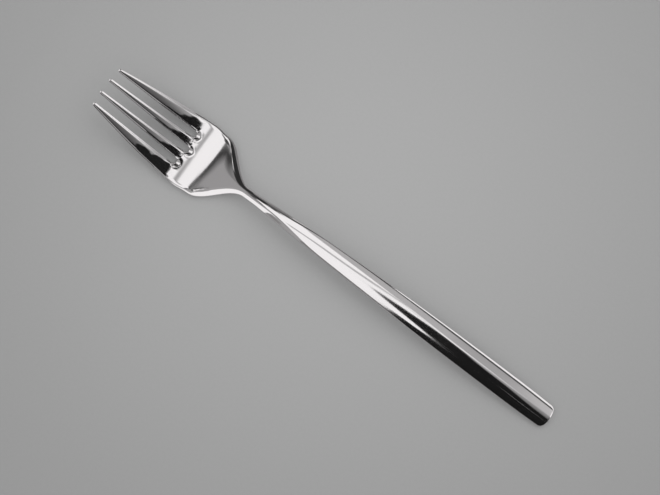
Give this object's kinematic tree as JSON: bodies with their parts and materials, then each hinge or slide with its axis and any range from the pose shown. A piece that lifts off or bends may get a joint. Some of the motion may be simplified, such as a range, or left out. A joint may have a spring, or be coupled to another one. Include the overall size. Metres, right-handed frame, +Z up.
{
  "type": "dinner fork",
  "caption": "One-piece dinner fork of mirror-polished steel, with slim tapered tines, sloping shoulders, a narrow neck and a crowned handle with a square end.",
  "frame": {"origin": "on the table, under the middle of the fork's box", "axes": "+X from the tine points to the end of the handle, +Y across the fork, +Z up, out of the table"},
  "size_m": [0.2, 0.0266, 0.0113],
  "materials": {
    "polished_steel": "mirror-polished stainless steel"
  },
  "bodies": {
    "root": {"fork": "polished_steel"}
  },
  "joints": []
}
